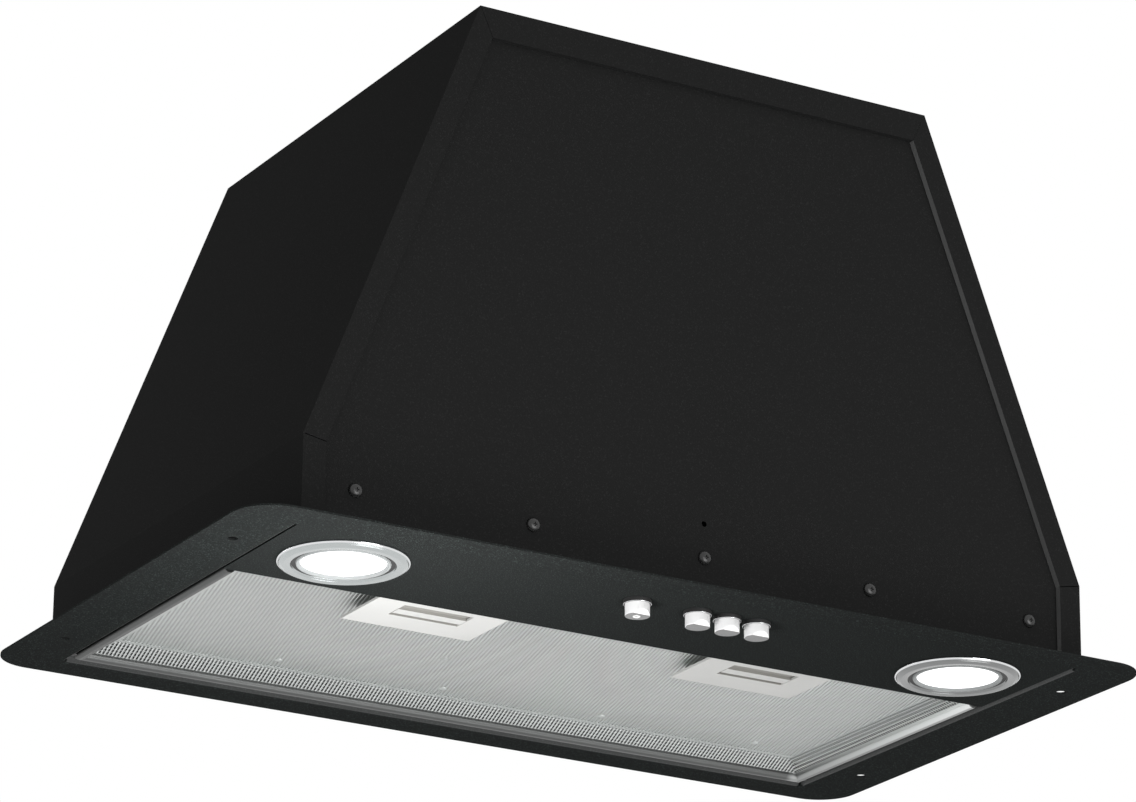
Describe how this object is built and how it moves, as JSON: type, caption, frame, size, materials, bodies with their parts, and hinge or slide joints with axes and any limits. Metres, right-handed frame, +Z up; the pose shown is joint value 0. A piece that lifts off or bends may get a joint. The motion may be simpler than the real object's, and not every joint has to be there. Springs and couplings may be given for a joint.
{
  "type": "under-cabinet range hood",
  "caption": "Insert range hood that fits through a wall cabinet's floor: folded body on a flange, drop-down grease filter, lamps, push buttons, blower and a top duct spigot.",
  "frame": {"origin": "centre of the four fixing holes, on the upper face of the flange, which seats against the cabinet floor", "axes": "+X to the right as seen from the front, +Y towards the wall, +Z up towards the duct"},
  "size_m": [0.525, 0.3078, 0.3342],
  "materials": {
    "black_paint": "fine-textured black powder coat",
    "chrome": "polished chrome plating",
    "filter_aluminium": "satin anodised aluminium",
    "zinc_steel": "zinc-plated sheet steel",
    "steel": "ground steel",
    "white_plastic": "off-white moulded plastic",
    "lamp_diffuser": "frosted white diffuser",
    "grey_plastic": "grey moulded plastic",
    "black_plastic": "black moulded plastic",
    "motor_paint": "dark grey motor enamel",
    "capacitor_can": "drawn aluminium can"
  },
  "bodies": {
    "hood": {"base_frame": "black_paint", "body_wrapper": "black_paint", "front_panel": "black_paint", "back_panel": "black_paint", "front_panel_screws": "black_paint", "back_panel_screws": "black_paint", "control_fascia": "black_paint", "collar_screws": "black_paint", "blower_screws": "black_paint", "button_collars": "chrome", "lamp_bezel_left": "chrome", "lamp_bezel_right": "chrome", "switch_bracket": "zinc_steel", "lamp_clips": "zinc_steel", "blower_housing_left": "zinc_steel", "blower_housing_right": "zinc_steel", "inlet_ring_left": "zinc_steel", "inlet_ring_right": "zinc_steel", "motor_bracket": "zinc_steel", "bracket_screws": "zinc_steel", "capacitor_clip": "zinc_steel", "terminal_cover_screws": "zinc_steel", "motor_bearings": "steel", "damper_pin": "steel", "terminal_block": "white_plastic", "lamp_lens_left": "lamp_diffuser", "lamp_lens_right": "lamp_diffuser", "terminal_box": "grey_plastic", "terminal_box_cover": "grey_plastic", "switch_bank": "black_plastic", "outlet_collar": "black_plastic", "cable_gland": "black_plastic", "gland_nut": "black_plastic", "lamp_housing_left": "black_plastic", "lamp_housing_right": "black_plastic", "motor_housing": "motor_paint", "capacitor": "capacitor_can"},
    "filter": {"filter_frame": "filter_aluminium", "filter_screen": "filter_aluminium", "filter_core": "filter_aluminium", "filter_backing": "filter_aluminium", "filter_rivets": "filter_aluminium", "filter_pivot_pins": "steel", "filter_handle_left": "white_plastic", "filter_handle_right": "white_plastic"},
    "latch_left": {"latch_left": "white_plastic"},
    "latch_right": {"latch_right": "white_plastic"},
    "button_light": {"button_light": "chrome"},
    "button_speed_1": {"button_speed_1": "chrome"},
    "button_speed_2": {"button_speed_2": "chrome"},
    "button_speed_3": {"button_speed_3": "chrome"},
    "fan_wheel": {"impeller": "zinc_steel", "blade_ring_left": "zinc_steel", "blade_ring_right": "zinc_steel", "motor_shaft": "steel"},
    "flap_front": {"damper_flap_front": "grey_plastic"},
    "flap_rear": {"damper_flap_rear": "grey_plastic"}
  },
  "joints": [
    {"name": "filter_swing", "type": "hinge", "parent": "hood", "child": "filter", "pos_m": [0, 0.1255, 0.0019], "axis": [1, 0, 0], "range_deg": [0, 80]},
    {"name": "latch_slide_left", "type": "slide", "parent": "filter", "child": "latch_left", "axis": [0, 1, 0], "range_m": [0, 0.003], "stiffness_N_per_m": 600, "springref_m": -0.004},
    {"name": "latch_slide_right", "type": "slide", "parent": "filter", "child": "latch_right", "axis": [0, 1, 0], "range_m": [0, 0.003], "stiffness_N_per_m": 600, "springref_m": -0.004},
    {"name": "press_light", "type": "slide", "parent": "hood", "child": "button_light", "axis": [0, 0, 1], "range_m": [0, 0.003], "stiffness_N_per_m": 500, "springref_m": -0.003},
    {"name": "press_speed_1", "type": "slide", "parent": "hood", "child": "button_speed_1", "axis": [0, 0, 1], "range_m": [0, 0.003], "stiffness_N_per_m": 500, "springref_m": -0.003},
    {"name": "press_speed_2", "type": "slide", "parent": "hood", "child": "button_speed_2", "axis": [0, 0, 1], "range_m": [0, 0.003], "stiffness_N_per_m": 500, "springref_m": -0.003},
    {"name": "press_speed_3", "type": "slide", "parent": "hood", "child": "button_speed_3", "axis": [0, 0, 1], "range_m": [0, 0.003], "stiffness_N_per_m": 500, "springref_m": -0.003},
    {"name": "fan_spin", "type": "hinge", "parent": "hood", "child": "fan_wheel", "pos_m": [0, -0.037, 0.149], "axis": [1, 0, 0], "continuous": true},
    {"name": "flap_front_swing", "type": "hinge", "parent": "hood", "child": "flap_front", "pos_m": [0, 0.0056, 0.3002], "axis": [-1, 0, 0], "range_deg": [0, 75]},
    {"name": "flap_rear_swing", "type": "hinge", "parent": "hood", "child": "flap_rear", "pos_m": [0, 0.0056, 0.3002], "axis": [1, 0, 0], "range_deg": [0, 75]}
  ]
}
